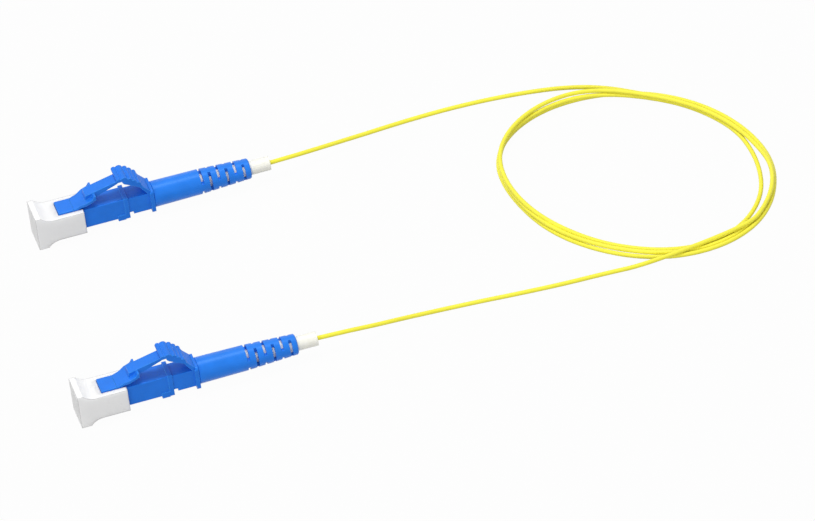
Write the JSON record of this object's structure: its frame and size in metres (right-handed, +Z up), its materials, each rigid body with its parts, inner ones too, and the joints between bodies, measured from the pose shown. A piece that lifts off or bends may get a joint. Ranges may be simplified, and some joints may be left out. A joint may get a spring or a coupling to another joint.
{
  "type": "lc fibre patch cord",
  "caption": "Fibre patch cord with a capped LC connector at each end, slotted boots and a loosely coiled buffered fibre.",
  "frame": {"origin": "bottom centre of the two connectors, on the surface they lie on", "axes": "+Z up, +X from the connectors towards the coil, +Y across from connector b to connector a"},
  "size_m": [0.1504, 0.0682, 0.0113],
  "materials": {
    "blue_plastic": "satin",
    "blue_rubber": "satin",
    "cap_white": "satin",
    "sleeve_white": "satin",
    "yellow_buffer": "satin",
    "zirconia": "polished",
    "nickel_brass": "satin",
    "spring_steel": "bright"
  },
  "bodies": {
    "cable": {"front_housing_a": "blue_plastic", "rear_housing_a": "blue_plastic", "spring_a": "spring_steel", "stop_ring_a": "nickel_brass", "inner_sleeve_a": "sleeve_white", "boot_a": "blue_rubber", "fibre_inside_a": "yellow_buffer", "front_housing_b": "blue_plastic", "rear_housing_b": "blue_plastic", "spring_b": "spring_steel", "stop_ring_b": "nickel_brass", "inner_sleeve_b": "sleeve_white", "boot_b": "blue_rubber", "fibre_inside_b": "yellow_buffer", "fibre_lead_a": "yellow_buffer", "fibre_coil": "yellow_buffer", "fibre_lead_b": "yellow_buffer"},
    "cap_a": {"dust_cap_a": "cap_white"},
    "trigger_a": {"trigger_a": "blue_plastic"},
    "latch_a": {"latch_arm_a": "blue_plastic"},
    "ferrule_a": {"ferrule_a": "zirconia", "ferrule_holder_a": "nickel_brass"},
    "cap_b": {"dust_cap_b": "cap_white"},
    "trigger_b": {"trigger_b": "blue_plastic"},
    "latch_b": {"latch_arm_b": "blue_plastic"},
    "ferrule_b": {"ferrule_b": "zirconia", "ferrule_holder_b": "nickel_brass"}
  },
  "joints": [
    {"name": "cap_a_pull", "type": "slide", "parent": "cable", "child": "cap_a", "axis": [-1, 0, 0], "range_m": [0, 0.02]},
    {"name": "trigger_a_press", "type": "hinge", "parent": "cable", "child": "trigger_a", "pos_m": [0.00231, 0.0291, 0.00636], "axis": [0, -1, 0], "range_deg": [0, 8], "stiffness_Nm_per_rad": 0.02},
    {"name": "latch_a_bend", "type": "hinge", "parent": "cable", "child": "latch_a", "pos_m": [-0.01297, 0.0291, 0.0063], "axis": [0, 1, 0], "range_deg": [0, 6], "stiffness_Nm_per_rad": 0.02},
    {"name": "ferrule_a_float", "type": "slide", "parent": "cable", "child": "ferrule_a", "axis": [1, 0, 0], "range_m": [0, 0.001], "stiffness_N_per_m": 2000, "springref_m": -0.0025, "deforming": ["spring_a"]},
    {"name": "cap_b_pull", "type": "slide", "parent": "cable", "child": "cap_b", "axis": [-1, 0, 0], "range_m": [0, 0.02]},
    {"name": "trigger_b_press", "type": "hinge", "parent": "cable", "child": "trigger_b", "pos_m": [-0.00432, -0.0291, 0.00636], "axis": [0, -1, 0], "range_deg": [0, 8], "stiffness_Nm_per_rad": 0.02},
    {"name": "latch_b_bend", "type": "hinge", "parent": "cable", "child": "latch_b", "pos_m": [-0.01959, -0.0291, 0.0063], "axis": [0, 1, 0], "range_deg": [0, 6], "stiffness_Nm_per_rad": 0.02},
    {"name": "ferrule_b_float", "type": "slide", "parent": "cable", "child": "ferrule_b", "axis": [1, 0, 0], "range_m": [0, 0.001], "stiffness_N_per_m": 2000, "springref_m": -0.0025, "deforming": ["spring_b"]}
  ],
  "couplings": [
    {"joint": "latch_a_bend", "follows": "trigger_a_press", "ratio": 0.72},
    {"joint": "latch_b_bend", "follows": "trigger_b_press", "ratio": 0.72}
  ]
}
